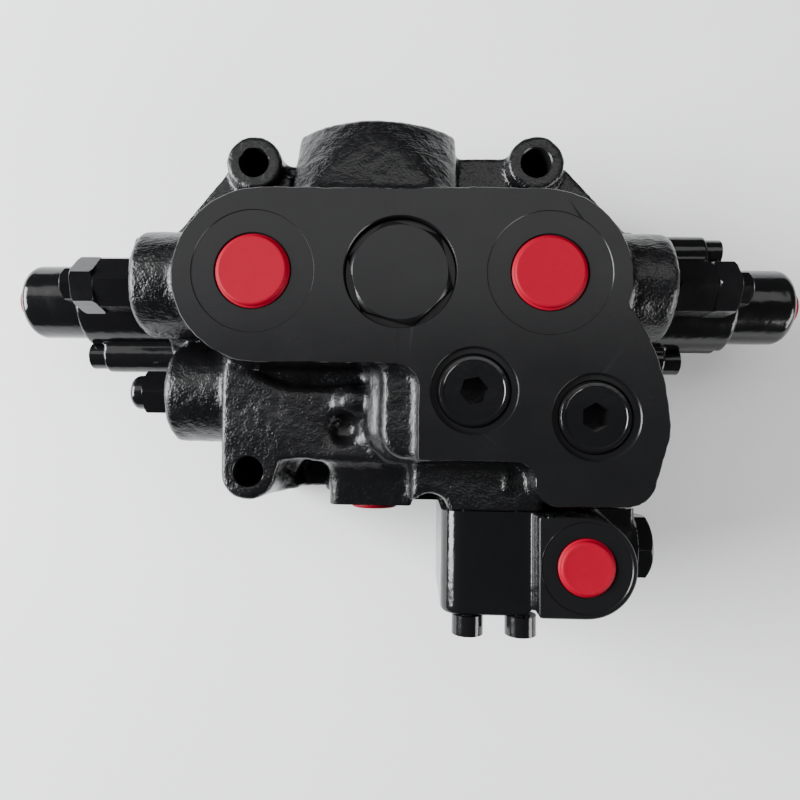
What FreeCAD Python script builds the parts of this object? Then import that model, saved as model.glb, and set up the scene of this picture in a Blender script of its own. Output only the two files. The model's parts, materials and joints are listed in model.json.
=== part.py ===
"""Hydraulic monoblock directional valve with side block, as an assembly of its separate pieces.

Millimetres, +Z up. The origin is on the mounting face, straight under the midpoint of the two work
ports. X runs along the spool, and the work ports face +Z.
"""

import FreeCAD, Part
import math
import os
import re
import Sketcher

DIMENSIONS = {
    # heights above the mounting face
    "face_height": 104,  # machined port face
    "spool_height": 39.5,
    "relief_height": 76.5,
    "lug_height": 83,
    "side_height": 54,  # side ports, cross drilling and shuttle
    "shoulder_height": 78,
    "plateau_height": 88,
    "block_height": 88,
    "block_face": 100,
    # platform under the port face
    "end_radius": 35,
    "end_x": 56.2,
    "end_y": -1.25,
    "waist_x": 8,
    "waist_y": -74.1,
    "lobe_x": 104.8,
    "lobe_y": -91,
    "mate_y": -95.4,  # joint face between the casting and the side block
    # work ports
    "port_x": 58.75,
    "port_bore": 15,
    "port_depth": 22,
    "port_spot": 24.5,
    "passage": 9.4,
    # spool line
    "spool_radius": 13,
    "spool_bore": 13.03,
    "spool_half": 111,
    "spool_boss": 26,
    "cover_x": 112,
    "gallery": 19,
    "gallery_width": 12,
    "tank_gallery": 23,
    # relief valves
    "relief_x": 112,
    "relief_boss": 23.3,
    "cartridge": 9.95,
    "cartridge_bore": 10,
    # mounting lugs for M12 screws
    "lug_radius": 12.2,
    "lug_hole": 6.5,
    "left_lug_x": -65.1,
    "right_lug_x": 57.4,
    "upper_lug_y": 53.4,
    "lower_lug_x": -64.2,
    "lower_lug_y": -80.8,
    # centre load check
    "check_recess": 22.3,
    "check_recess_depth": 12.5,
    "check_bore": 16.55,
    "check_seat": 64,
    "check_throat": 8,
    # socket plugs in the lobe
    "plug_recess": 17,
    "plug_head": 14.7,
    "plug_recess_depth": 5,
    "plug_bore": 10.45,
    "plug_seat": 60,
    "plug_throat": 5,
    "first_plug_x": 29.4,
    "first_plug_y": -46.7,
    "second_plug_x": 76.6,
    "second_plug_y": -56.5,
    # inlet and return bosses
    "inlet_x": -11.5,
    "inlet_half": 34,
    "inlet_y": 69.2,
    "inlet_height": 52,
    "inlet_bore": 15.55,
    "inlet_depth": 24,
    "return_x": -12,
    "return_bore": 11.35,
    # make-up check at lower left
    "makeup_x": 105,
    "makeup_y": -46,
    "makeup_boss": 22.8,
    # side block
    "block_left": 17.9,
    "block_right": 104,
    "block_back": -138,
    "block_port_x": 73.9,
    "block_port_y": -115,
    "block_port_radius": 19.6,
    "shuttle_y": -113.5,
    "shuttle_bore": 8.03,
    "shuttle_radius": 8,
    # end covers
    "cover_radius": 22.5,
    "cover_long": 42.3,
    "pilot_radius": 18,
    "pilot_end": 72.3,
    "pilot_bore": 9.2,
    "ear_offset": 27,
    "ear_radius": 8,
    "long_ear": 34.7,
    "short_ear": 14,
    "chamber": 17,
    "chamber_depth": 38,
    # M8 cap screws
    "screw_radius": 4,
    "screw_clear": 4.5,
    "screw_thread": 4.03,
    "screw_head": 6.5,
    "screw_head_height": 8,
}

X_AXIS = FreeCAD.Vector(1, 0, 0)
Y_AXIS = FreeCAD.Vector(0, 1, 0)
Z_AXIS = FreeCAD.Vector(0, 0, 1)
# how a piece's own +Z is turned; "-X" is "+X" turned half way round Z
TURNS = {
    "+Z": FreeCAD.Rotation(),
    "-Z": FreeCAD.Rotation(X_AXIS, 180),
    "+X": FreeCAD.Rotation(Y_AXIS, 90),
    "-X": FreeCAD.Rotation(Z_AXIS, 180) * FreeCAD.Rotation(Y_AXIS, 90),
    "+Y": FreeCAD.Rotation(X_AXIS, -90),
    "-Y": FreeCAD.Rotation(X_AXIS, 90),
}
WORD = re.compile(r"[a-z_][a-z_0-9]*")
FAR = 400  # longer than the whole valve, for cutters

doc = FreeCAD.newDocument("monoblock_valve")
sheet = doc.addObject("Spreadsheet::Sheet", "dims")
for row, (alias, number) in enumerate(DIMENSIONS.items(), start=1):
    sheet.set(f"A{row}", alias)
    sheet.set(f"B{row}", str(number))
    sheet.setAlias(f"B{row}", alias)
doc.recompute()

nodes = []


# ---- sizes and places, always bound to the sheet ----


def formula(text):
    """The text with each sheet alias written the way an expression needs it."""

    def spelled(word):
        return "dims." + word.group() if word.group() in DIMENSIONS else word.group()

    return WORD.sub(spelled, str(text))


def number(text):
    return float(sheet.evalExpression(formula(text)))


def bind(item, **sizes):
    for name, text in sizes.items():
        item.setExpression(name, formula(text))
    return item


def place(item, at=(0, 0, 0), along="+Z"):
    """Puts the item's own origin at a point, with its own +Z turned along an axis."""
    item.Placement = FreeCAD.Placement(FreeCAD.Vector(*(number(text) for text in at)), TURNS[along])
    for letter, text in zip("xyz", at, strict=True):
        item.setExpression(f"Placement.Base.{letter}", formula(text))
    return item


def keep(item, label):
    """Makes the item a node of its own."""
    item.Label = label
    nodes.append(item)
    return item


# ---- plain solids ----


def rod(name, radius, length, at=(0, 0, 0), along="+Z"):
    return place(bind(doc.addObject("Part::Cylinder", name), Radius=radius, Height=length), at, along)


def block(name, low, high):
    box = bind(
        doc.addObject("Part::Box", name),
        Length=f"({high[0]}) - ({low[0]})",
        Width=f"({high[1]}) - ({low[1]})",
        Height=f"({high[2]}) - ({low[2]})",
    )
    return place(box, low)


def hexagon(name, across_flats, length, at=(0, 0, 0), along="+Z"):
    prism = doc.addObject("Part::Prism", name)
    prism.Polygon = 6
    return place(bind(prism, Circumradius=f"({across_flats}) / sqrt(3)", Height=length), at, along)


def ring(name, middle_radius, wire_radius, at=(0, 0, 0), along="+Z"):
    torus = bind(doc.addObject("Part::Torus", name), Radius1=middle_radius, Radius2=wire_radius)
    return place(torus, at, along)


def join(name, pieces):
    fuse = doc.addObject("Part::MultiFuse", name)
    fuse.Shapes = pieces
    fuse.Refine = True
    return fuse


def cut(name, base, tools):
    result = doc.addObject("Part::Cut", name)
    result.Base = base
    result.Tool = tools[0] if len(tools) == 1 else join(name + "_tools", tools)
    return result


def group(name, pieces):
    """Identical pieces that share a node, as separate solids."""
    compound = doc.addObject("Part::Compound", name)
    compound.Links = pieces
    return keep(compound, name)


# ---- sketched solids ----


def arc_between(start, end, radius):
    """The short arc from start to end: its centre lies to the left of the way if radius is positive."""
    middle = (start + end) * 0.5
    chord = end - start
    left = FreeCAD.Vector(-chord.y, chord.x, 0).normalize()
    side = math.copysign(1, radius)
    centre = middle + left * side * math.sqrt(max(radius**2 - chord.Length**2 / 4, 0))
    first, last = (start, end) if side > 0 else (end, start)
    angles = [math.atan2(point.y - centre.y, point.x - centre.x) for point in (first, last)]
    return Part.ArcOfCircle(Part.Circle(centre, Z_AXIS, abs(radius)), *angles)


def outline(body, plane, points):
    """A closed sketch. A point is (x, y) after a straight side or (x, y, radius) after an arc."""
    sketch = body.newObject("Sketcher::SketchObject", body.Name + "_outline")
    support = next(item for item in body.Origin.OriginFeatures if item.Role == plane)
    sketch.AttachmentSupport = [(support, "")]
    sketch.MapMode = "FlatFace"
    corners = [FreeCAD.Vector(number(point[0]), number(point[1]), 0) for point in points]
    ends = []
    for index, point in enumerate(points):
        start, end = corners[index - 1], corners[index]
        radius = number(point[2]) if len(point) == 3 else 0
        sketch.addGeometry(arc_between(start, end, radius) if radius else Part.LineSegment(start, end))
        ends.append((2, 1) if radius < 0 else (1, 2))
    for index in range(len(points)):
        after = (index + 1) % len(points)
        sketch.addConstraint(Sketcher.Constraint("Coincident", index, ends[index][1], after, ends[after][0]))
    for index, point in enumerate(points):
        for kind, text, size in zip(("DistanceX", "DistanceY"), point[:2], corners[index][:2], strict=True):
            rule = Sketcher.Constraint(kind, -1, 1, index, ends[index][1], size)
            sketch.setExpression(f"Constraints[{sketch.addConstraint(rule)}]", formula(text))
        if len(point) == 3:
            rule = sketch.addConstraint(Sketcher.Constraint("Radius", index, abs(number(point[2]))))
            sketch.setExpression(f"Constraints[{rule}]", formula(f"abs({point[2]})"))
    return sketch


def pad(name, points, length, at=(0, 0, 0), along="+Z"):
    """A straight extrusion of an outline drawn in the piece's own XY plane."""
    body = doc.addObject("PartDesign::Body", name)
    feature = body.newObject("PartDesign::Pad", name + "_pad")
    feature.Profile = outline(body, "XY_Plane", points)
    bind(feature, Length=length)
    body.Tip = feature
    return place(body, at, along)


def turned(name, stations, at=(0, 0, 0), along="+Z"):
    """A turned piece: a station is a distance along the axis, a radius and, after an arc, its radius."""
    body = doc.addObject("PartDesign::Body", name)
    sketch = outline(body, "XZ_Plane", [(radius, station, *arc) for station, radius, *arc in stations])
    feature = body.newObject("PartDesign::Revolution", name + "_turn")
    feature.Profile = sketch
    feature.ReferenceAxis = (sketch, ["V_Axis"])
    feature.Angle = 360
    body.Tip = feature
    return place(body, at, along)


def with_flats(name, blank, across_flats, start, end, twist=0):
    """Mills six flats on a turned blank between two stations, so that its chamfers stay on the corners."""
    outside = rod(name + "_mill", across_flats, f"({end}) - ({start})", (0, 0, start))
    inside = hexagon(name + "_flats", across_flats, f"({end}) - ({start})", (0, 0, start))
    inside.Placement.Rotation = FreeCAD.Rotation(Z_AXIS, twist)
    return cut(name + "_milled", blank, [cut(name + "_waste", outside, [inside])])


def coil_spring(name, middle_radius, wire_radius, start, end, turns, at, along):
    """A coil spring whose end turns stop a hair short of the faces at start and end."""
    slack = f"({wire_radius}) + 0.05"
    path = doc.addObject("Part::Helix", name + "_path")
    rise = f"({end}) - ({start}) - 2 * ({slack})"
    bind(path, Radius=middle_radius, Height=rise, Pitch=f"({rise}) / {turns}")
    wire = bind(doc.addObject("Part::Circle", name + "_wire"), Radius=wire_radius)
    wire.Placement = FreeCAD.Placement(FreeCAD.Vector(number(middle_radius), 0, 0), TURNS["-Y"])
    wire.setExpression("Placement.Base.x", formula(middle_radius))
    sweep = doc.addObject("Part::Sweep", name + "_coil")
    sweep.Sections = [wire]
    sweep.Spine = (path, [])
    sweep.Solid = True
    sweep.Frenet = True
    place(sweep, (0, 0, f"({start}) + {slack}"))
    holder = doc.addObject("Part::Compound", name)
    holder.Links = [sweep]
    return keep(place(holder, at, along), name)


def cap_screw(name, length, at, along):
    """A socket head cap screw, its head seated on the plane through the given point."""
    head = "screw_head_height"
    blank = turned(
        name + "_blank",
        [
            (f"-({length})", 0), (f"-({length})", "screw_radius - 0.8"),
            (f"0.8 - ({length})", "screw_radius"),
            (0, "screw_radius"), (0, "screw_head"), (f"{head} - 0.6", "screw_head"),
            (head, "screw_head - 0.6"),
            (head, 0),
        ],
    )  # fmt: skip
    return place(cut(name, blank, [hexagon(name + "_socket", 6, 4.5, (0, 0, f"{head} - 4"))]), at, along)


def red_plug(name, bore, proud, depth, at, along):
    """A thin push-in shipping plug: a cup open towards the port, with a rounded proud top."""
    top = f"({bore}) - 0.85"
    shape = turned(
        name,
        [
            (f"-({depth})", f"({bore}) - 2"), (f"-({depth})", f"({bore}) - 0.6"),
            (f"1.5 - ({depth})", f"({bore}) - 0.05"),
            (-0.4, f"({bore}) - 0.05"), (0.1, top), (f"({proud}) - 1", top),
            (proud, f"({top}) - 1", 1), (proud, 0),
            (-1.5, 0), (-1.5, f"({bore}) - 2"),
        ],
        at,
        along,
    )  # fmt: skip
    return keep(shape, name)


# ---- the casting ----


def port_platform():
    """The mass under the machined face: a long body with round ends and a lobe at lower right."""
    left, right = "-end_x", "end_x"
    top, bottom = "end_y + end_radius", "end_y - end_radius"
    return pad(
        "platform",
        [
            (left, top), ("-end_x - end_radius", "end_y", "end_radius"), (left, bottom, "end_radius"),
            ("waist_x - 10", bottom), ("waist_x", f"{bottom} - 10", -10), ("waist_x", "waist_y"),
            (45.2, "waist_y"),
            (53.4, "waist_y - 8.2", -8.2), (62.1, "lobe_y", 8.75), (88.6, "lobe_y"), (98.9, -83, 12),
            ("lobe_x - 0.5", -65), ("lobe_x", -58, 30),
            ("end_x + end_radius * 0.9449", "end_y - end_radius * 0.3272", 80),
            (right, top, "end_radius"),
        ],
        "face_height",
    )  # fmt: skip


def lug_plateau():
    """The rough plateau at lower left, which ends in the third mounting lug."""
    left, right = "lower_lug_x - lug_radius", "lower_lug_x + lug_radius"
    return pad(
        "lug_plateau",
        [
            (-9, -30), (left, -30), (left, "lower_lug_y"),
            ("lower_lug_x", "lower_lug_y - lug_radius", "lug_radius"),
            (right, "lower_lug_y", "lug_radius"), (-50, -76), (-9, -76),
        ],
        "lug_height",
    )  # fmt: skip


def inlet_boss():
    """The big boss towards +Y: a cone that narrows outwards, with flat sides and a flat land on top."""
    cone = bind(doc.addObject("Part::Cone", "inlet_cone"), Radius1=70.8, Radius2=45.1, Height="inlet_y")
    place(cone, ("inlet_x", 0, "inlet_height - 7"), "+Y")
    low = ("inlet_x - inlet_half", 1, 0)
    limits = block("inlet_limits", low, ("inlet_x + inlet_half", "inlet_y + 5", "face_height - 8"))
    boss = doc.addObject("Part::Common", "inlet_boss")
    boss.Base, boss.Tool = cone, limits
    return boss


def rough_shoulder():
    """The rough slope beside the machined waist, falling towards the plateau."""
    right, top = "waist_x + 1", "face_height - 5"
    section = [
        (-20, 0), (right, 0), (right, f"{top} + 2"), (5, top),
        (-8, f"{top} - 2.5"), (-13, f"{top} - 6"), (-20, "lug_height - 1"),
    ]  # fmt: skip
    return pad("rough_shoulder", section, 43.5, (0, -30, 0), "-Y")


def gusset(name, points):
    """The slanted web from an upper lug down to the relief boss beside it."""
    return pad(name, points, "shoulder_height - 2")


def casting_lumps():
    lumps = [
        port_platform(),
        lug_plateau(),
        inlet_boss(),
        gusset("left_gusset", [(-50, -5), (-50, 50), (-77, 55), (-102.5, 23), (-102.5, -5)]),
        gusset("right_gusset", [(45, -5), (100, -5), (100, 23), (72, 54), (45, 50)]),
        rough_shoulder(),
        block("left_web", (-65, 20, 0), (-40, 57, "shoulder_height - 6")),
        block("right_web", (10, 20, 0), (57, 58, "shoulder_height")),
        block("belly", (-58, -90, 0), (100, 0, "lug_height - 23")),
        block("return_boss", (-31, "mate_y + 0.4", 30), (17, -60, "lug_height - 7")),
        block("joint_pad", (5, "mate_y + 0.4", 10), (60, -60, "plateau_height")),
        block("lower_pad", (17, "mate_y + 0.4", 10), (100, -60, "lug_height - 11")),
        rod("makeup_boss", "makeup_boss", 65, ("-makeup_x", "makeup_y", "side_height"), "+X"),
        rod("core_boss", 6.5, 8, (-22, -52, "lug_height - 2")),
    ]
    for name, x, y in UPPER_LUGS:
        lumps.append(rod(name + "_lug", "lug_radius", "lug_height", (x, y, 0)))
    for side, sign, along in SIDES:
        upper, lower = (f"{sign} * 50", 0, "relief_height"), (f"{sign} * 50", 0, "spool_height")
        lumps.append(rod(side + "_relief_boss", "relief_boss", "relief_x - 50", upper, along))
        lumps.append(rod(side + "_spool_boss", "spool_boss", "cover_x - 50", lower, along))
        for edge, way in (("upper", 1), ("lower", -1)):
            at = (f"{sign} * 70", f"{way} * ear_offset", "spool_height")
            lumps.append(rod(f"{side}_{edge}_thread_boss", 10, "cover_x - 70", at, along))
    return lumps


def spool_line_cutters():
    """The spool bore, its counterbored ends, the cored galleries round it and the cover screw threads."""
    cutters = [rod("spool_hole", "spool_bore", "2 * cover_x + 2", ("-cover_x - 1", 0, "spool_height"), "+X")]
    for side, sign, along in SIDES:
        inner = (f"{sign} * (cover_x - 9.5)", 0, "spool_height")
        cutters.append(rod(side + "_seat_room", 16, 10, inner, along))
        for edge, way in (("upper", 1), ("lower", -1)):
            at = (f"{sign} * (cover_x - 20)", f"{way} * ear_offset", "spool_height")
            cutters.append(rod(f"{side}_{edge}_thread", "screw_thread", 21, at, along))
        for name, middle, radius in GALLERIES:
            at = (f"{sign} * ({middle}) - gallery_width / 2", 0, "spool_height")
            cutters.append(rod(f"{side}_{name}_gallery", radius, "gallery_width", at, "+X"))
        top = "relief_height - spool_height"
        cutters.append(rod(side + "_bridge_riser", 4.6, f"{top} - 4", (f"{sign} * 30", 0, "spool_height")))
        cutters.append(rod(side + "_relief_drop", 4, top, (f"{sign} * 84", 0, "spool_height")))
    cutters.append(rod("pump_gallery", "gallery", 14, (-7, 0, "spool_height"), "+X"))
    cutters.append(rod("bridge_core", 5, 60, (-30, 0, "check_seat + 6"), "+X"))
    cutters.append(rod("tank_core", 6, 170, (-85, 0, 16), "+X"))
    return cutters


def port_cutters():
    """Work ports, relief bores, inlet, return port and the passages behind them."""
    cutters = []
    for side, sign, along in SIDES:
        x = f"{sign} * port_x"
        cutters.append(rod(side + "_port", "port_bore", "port_depth + 1", (x, 0, "face_height + 1"), "-Z"))
        run = "face_height - spool_height - 2"
        cutters.append(rod(side + "_port_passage", "passage", run, (x, 0, "spool_height")))
        cutters.append(rod(side + "_port_spot", "port_spot", 2, (x, 0, "face_height - 0.3")))
        inner = (f"{sign} * (relief_x - 45)", 0, "relief_height")
        cutters.append(rod(side + "_relief_hole", "cartridge_bore", 46, inner, along))
    bottom = ("inlet_x", "inlet_y - inlet_depth", "inlet_height")
    cutters.append(rod("inlet_hole", "inlet_bore", "inlet_depth", bottom, "+Y"))
    cutters.append(rod("inlet_passage", "passage", 50, ("inlet_x", 10, "inlet_height"), "+Y"))
    cutters.append(rod("inlet_spot", "port_spot", 2, ("inlet_x", "inlet_y - 0.3", "inlet_height"), "+Y"))
    cutters.append(rod("return_hole", "return_bore", 22, ("return_x", "mate_y + 22", "side_height"), "-Y"))
    cutters.append(rod("return_passage", 7, 22, ("return_x", -58, "side_height"), "-Y"))
    cutters.append(rod("return_drop", 6.4, "side_height - 10", ("return_x", -62, 10)))
    cutters.append(rod("return_run", 5.6, 64, ("return_x", 0, 16), "-Y"))
    return cutters


def check_cutters():
    """Recesses, threads, chambers and seats for the check valves and plugs, and the cross drilling."""
    cutters = [
        rod("check_recess", "check_recess", "check_recess_depth + 1", (0, 0, "face_height + 1"), "-Z"),
        rod("check_chamber", "check_bore", "face_height - check_seat", (0, 0, "check_seat")),
        rod("check_throat", "check_throat", "check_seat - spool_height", (0, 0, "spool_height")),
        rod("cross_drilling", 4, 140, (-62, "first_plug_y", "side_height"), "+X"),
        rod("second_link", 3.4, 12, ("second_plug_x", "second_plug_y", "side_height"), "+Y"),
        rod("makeup_chamber", "cartridge_bore", 26, ("25 - makeup_x", "makeup_y", "side_height"), "-X"),
        rod("makeup_throat", "plug_throat", 26, ("45 - makeup_x", "makeup_y", "side_height"), "-X"),
        block("ditch", (-50, -44, 70), (-9, "end_y - end_radius", "face_height")),
        rod("core_pit", 4, 10, (-24, -63, "lug_height - 6")),
    ]
    for name, x, y in LOBE_PLUGS:
        mouth = (x, y, "face_height + 1")
        cutters.append(rod(name + "_rim", "plug_recess", 2.8, mouth, "-Z"))
        cutters.append(rod(name + "_recess", "plug_head", "plug_recess_depth + 1", mouth, "-Z"))
        cutters.append(rod(name + "_chamber", "plug_bore", "face_height - plug_seat", (x, y, "plug_seat")))
        cutters.append(rod(name + "_throat", "plug_throat", 14, (x, y, "plug_seat - 14")))
    for name, x in (("shuttle_left", 36), ("shuttle_right", 66)):
        cutters.append(rod(name + "_run", 3.5, 50, (x, "first_plug_y", "side_height"), "-Y"))
    for index, (x, z) in enumerate(BLOCK_SCREWS):
        cutters.append(rod(f"block_thread_{index}", "screw_thread", 20, (x, "mate_y + 18", z), "-Y"))
    for name, x, y in UPPER_LUGS + (("lower", "lower_lug_x", "lower_lug_y"),):
        cutters.append(rod(name + "_lug_hole", "lug_hole", "lug_height + 2", (x, y, -1)))
    return cutters


SIDES = (("left", -1, "-X"), ("right", 1, "+X"))
UPPER_LUGS = (("left", "left_lug_x", "upper_lug_y"), ("right", "right_lug_x", "upper_lug_y"))
LOBE_PLUGS = (("first", "first_plug_x", "first_plug_y"), ("second", "second_plug_x", "second_plug_y"))
GALLERIES = (("bridge", 30, "gallery"), ("work", "port_x", "gallery"), ("tank", 84, "tank_gallery"))
BLOCK_SCREWS = ((29.2, 82), (51.1, 82), (29.2, 31), (51.1, 31))

rough = join("rough_casting", casting_lumps())
with_ports = cut("casting_with_ports", rough, port_cutters())
with_checks = cut("casting_with_checks", with_ports, check_cutters())
keep(cut("valve_body", with_checks, spool_line_cutters()), "valve_body")


# ---- spool, centring springs and end covers ----


def spool():
    """Three lands with deep grooves between them, shallow balance grooves and a tapped hole in each end."""
    half, land, root = "spool_half", "spool_radius", 8.5
    points = [(f"-{half}", 2.6), (f"-{half}", f"{land} - 1"), (f"1 - {half}", land)]
    for start, end in ((-76, -38), (38, 76)):
        if start > 0:
            for groove in (-26, -14, 14, 26):
                points += [(groove - 0.5, land), (groove - 0.5, f"{land} - 0.6")]
                points += [(groove + 0.5, f"{land} - 0.6"), (groove + 0.5, land)]
        points += [(start, land), (start, root), (end, root), (end, land)]
    points += [(f"{half} - 1", land), (half, f"{land} - 1"), (half, 2.6)]
    points += [(f"{half} - 15", 2.6), (f"{half} - 15", 0), (f"15 - {half}", 0), (f"15 - {half}", 2.6)]
    return keep(turned("spool", points, (0, 0, "spool_height"), "+X"), "spool")


def end_cover(side, sign, along):
    """A cover: spring chamber, slimmer pilot end, and one long and one short screw boss."""
    shell = turned(
        side + "_cover_shell",
        [
            (0, "chamber"), (0, "cover_radius"), ("cover_long - 1.5", "cover_radius"),
            ("cover_long", "cover_radius - 1.5", 1.5),
            ("cover_long", "pilot_radius"), ("pilot_end - 2.5", "pilot_radius"),
            ("pilot_end", "pilot_radius - 2.5"),
            ("pilot_end", "pilot_bore"), ("pilot_end - 15", "pilot_bore"), ("pilot_end - 15", 5),
            ("chamber_depth", 5),
            ("chamber_depth", "chamber"),
        ],
    )  # fmt: skip
    pieces, cutters = [shell], []
    for edge, way, length in (("long", 1, "long_ear"), ("short", -1, "short_ear")):
        name = f"{side}_{edge}_ear"
        offset = f"{way} * ear_offset"
        pieces.append(rod(name, "ear_radius", length, (0, offset, 0)))
        low, high = (19, "ear_offset") if way > 0 else ("-ear_offset", -19)
        pieces.append(block(name + "_web", (-7, low, 0), (7, high, length)))
        cutters.append(rod(name + "_hole", "screw_clear", FAR, (0, offset, -1)))
        cutters.append(rod(name + "_head_room", 7, FAR, (0, offset, length)))
    groove = cut(side + "_groove", rod(side + "_groove_disc", 20.8, 2), [rod(side + "_groove_core", 18.4, 2)])
    cover = cut(f"end_cover_{side}", join(side + "_cover_blank", pieces), cutters + [groove])
    return keep(place(cover, (f"{sign} * cover_x", 0, "spool_height"), along), f"end_cover_{side}")


def spring_seat(side, sign, along):
    """The cup screwed to the spool's end, which carries the centring spring."""
    stations = [(0, 2.6), (0, 15), (3, 15), (3, 9), (14, 9), (14, 4.8), (8, 4.8), (8, 2.6)]
    at = (f"{sign} * spool_half", 0, "spool_height")
    keep(turned(f"spring_seat_{side}", stations, at, along), f"spring_seat_{side}")
    screw = turned(side + "_seat_screw", [(-14, 0), (-14, 2.55), (8, 2.55), (8, 4.5), (13, 4.5), (13, 0)])
    head = cut(f"spool_end_screw_{side}", screw, [hexagon(side + "_seat_socket", 4, 3, (0, 0, 10.5))])
    keep(place(head, at, along), f"spool_end_screw_{side}")
    outer = "cover_x - spool_half + chamber_depth"
    coil_spring(f"centering_spring_{side}", 12, 1.6, 3, outer, 5.5, at, along)


spool()
cover_seals, long_screws, short_screws = [], [], []
for side, sign, along in SIDES:
    end_cover(side, sign, along)
    spring_seat(side, sign, along)
    groove_at = (f"{sign} * (cover_x + 1)", 0, "spool_height")
    cover_seals.append(ring(side + "_cover_seal", 19.6, 0.98, groove_at, "+X"))
    screw_kinds = ((long_screws, "long", 1, "long_ear"), (short_screws, "short", -1, "short_ear"))
    for kept, edge, way, seat in screw_kinds:
        at = (f"{sign} * (cover_x + {seat})", f"{sign * way} * ear_offset", "spool_height")
        kept.append(cap_screw(f"{side}_{edge}_screw", f"{seat} + 18", at, along))
    mouth = (f"{sign} * (cover_x + pilot_end)", 0, "spool_height")
    red_plug(f"pilot_plug_{side}", "pilot_bore", 5.4, 10, mouth, along)
group("cover_seals", cover_seals)
group("cover_screws_long", long_screws)
group("cover_screws_short", short_screws)


# ---- relief valves ----


NUT_TWISTS = {"left": 15, "right": 58}  # degrees from a corner pointing down, as tightened


def relief_valve(side, sign, along):
    """A screw-in cartridge with a cone poppet, its spring, an adjusting screw and a lock nut."""
    at = (f"{sign} * relief_x", 0, "relief_height")
    blank = turned(
        side + "_cartridge_blank",
        [
            (-45, 3), (-45, 6.5), (-40, 6.5), (-38.5, "cartridge"), (4, "cartridge"), (4, 11),
            (4.8, 12.12), (19.2, 12.12),
            (20, 11), (20, 4.05), (12, 4.05), (12, 6), (-36, 6), (-38, 3),
        ],
    )  # fmt: skip
    cartridge = with_flats(side + "_cartridge", blank, 21, 4, 20)
    keep(place(cartridge, at, along), f"relief_cartridge_{side}")
    poppet = [(-40.9, 0), (-36, 4.9), (-30, 4.9), (-30, 2.5), (-22, 2.5), (-22, 0)]
    keep(turned(f"relief_poppet_{side}", poppet, at, along), f"relief_poppet_{side}")
    coil_spring(f"relief_spring_{side}", 3.6, 0.7, -30, 8, 10, at, along)
    nut_blank = turned(
        side + "_nut_blank",
        [(20.1, 4.05), (20.1, 11.5), (20.9, 12.4), (29.2, 12.4), (30, 11.4), (30, 4.05)],
    )
    nut = with_flats(side + "_nut", nut_blank, 21.5, 20.1, 30, NUT_TWISTS[side])
    keep(place(nut, at, along), f"relief_lock_nut_{side}")
    screw_blank = turned(
        side + "_adjuster_blank",
        [(8, 0), (8, 4), (30.2, 4), (30.2, 7.2), (30.7, 7.8), (36, 7.8), (37, 6.4), (37, 0)],
    )
    screw = with_flats(side + "_adjuster", screw_blank, 13.5, 30.2, 37)
    socket = cut(side + "_adjuster_cut", screw, [hexagon(side + "_adjuster_socket", 5, 4, (0, 0, 33.5))])
    keep(place(socket, at, along), f"relief_adjuster_{side}")


for side, sign, along in SIDES:
    relief_valve(side, sign, along)


# ---- check valves ----


def load_check():
    """The centre plug with its seal, and the poppet and spring that it holds down on the seat."""
    top = (0, 0, "face_height")
    blank = turned(
        "load_check_blank",
        [
            (-24, 6.06), (-24, 15.6), (-22.5, 16.5), (-15, 16.5), (-15, 15), (-12.4, 15),
            (-12.4, 21.9), (-2.2, 21.9),
            (-0.5, 19), (-0.5, 0), (-9, 0), (-9, 6.06),
        ],
    )  # fmt: skip
    keep(place(with_flats("load_check_plug", blank, 38, -3.2, -0.5, -16), top), "load_check_plug")
    keep(ring("load_check_seal", 15.78, 0.74, (0, 0, "face_height - 13.5")), "load_check_seal")
    poppet = [
        (-6, 0), (-6, 1.9), (3, 10.9), (8, 10.9), (8, 6), (20, 6), (20, 4.2), (10, 4.2), (10, 0),
    ]  # fmt: skip
    keep(turned("load_check_poppet", poppet, (0, 0, "check_seat")), "load_check_poppet")
    spring_top = "face_height - 9 - check_seat"
    coil_spring("load_check_spring", 3.2, 0.7, 10, spring_top, 6, (0, 0, "check_seat"), "+Z")


def socket_check(name, x, y):
    """A socket-head plug with seal, poppet and spring, in the lobe."""
    blank = turned(
        name + "_blank",
        [
            (-22, 4), (-22, 9.4), (-21, 10.4), (-7.5, 10.4), (-7.5, 9.2), (-4.9, 9.2), (-4.9, 14.3),
            (-1.6, 14.3), (-0.8, 13.5),
            (-0.8, 0), (-11, 0), (-11, 4),
        ],
    )  # fmt: skip
    plug = cut(name + "_plug", blank, [hexagon(name + "_socket", 10, 8, (0, 0, -7.5))])
    keep(place(plug, (x, y, "face_height")), name + "_plug")
    keep(ring(name + "_seal", 9.82, 0.55, (x, y, "face_height - 6.2")), name + "_seal")
    seat = (x, y, "plug_seat")
    poppet = [(-3.5, 0), (-3.5, 1.4), (3, 7.9), (9, 7.9), (9, 4.2), (4, 4.2), (4, 0)]
    keep(turned(name + "_poppet", poppet, seat), name + "_poppet")
    coil_spring(name + "_spring", 3.2, 0.6, 4, "face_height - 11 - plug_seat", 8, seat, "+Z")


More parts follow.
